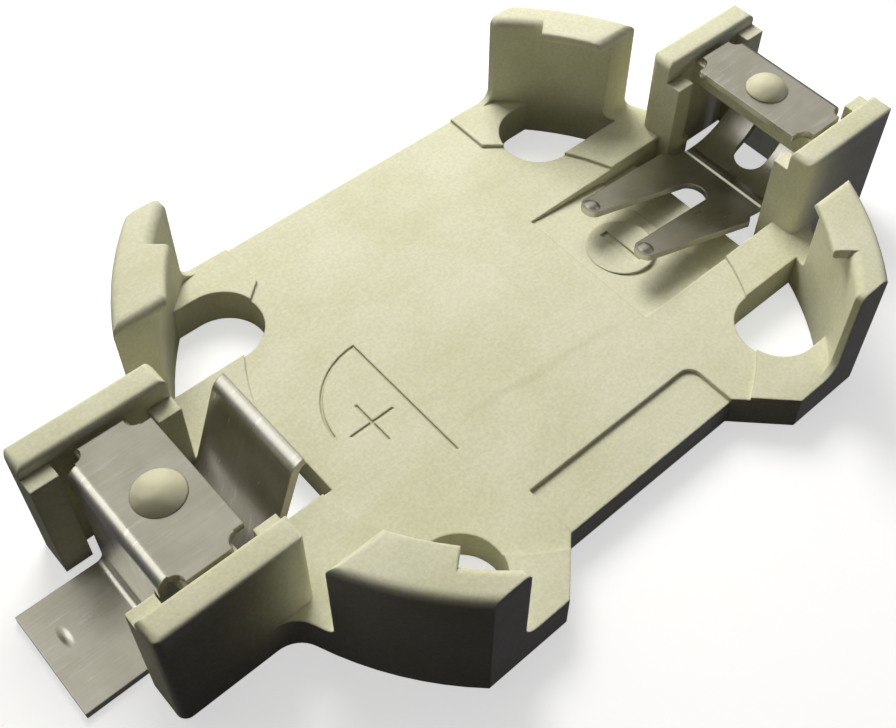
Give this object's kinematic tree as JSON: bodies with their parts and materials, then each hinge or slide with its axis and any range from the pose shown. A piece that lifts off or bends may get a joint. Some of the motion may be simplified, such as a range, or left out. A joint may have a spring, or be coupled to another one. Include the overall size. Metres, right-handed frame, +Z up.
{
  "type": "coin cell holder",
  "caption": "Surface-mount holder for a flat round cell: moulded tray with snap hooks and two sprung contacts with solder tabs.",
  "frame": {"origin": "on the board, under the centre of the cell", "axes": "+X along the holder towards its negative end, +Y across it towards its straight side, +Z up from the board"},
  "size_m": [0.0316, 0.016, 0.005],
  "materials": {
    "body_plastic": "fine matt moulded surface",
    "contact_metal": "satin tin plate"
  },
  "bodies": {
    "root": {"holder_body": "body_plastic", "positive_contact": "contact_metal", "negative_contact": "contact_metal"}
  },
  "joints": []
}
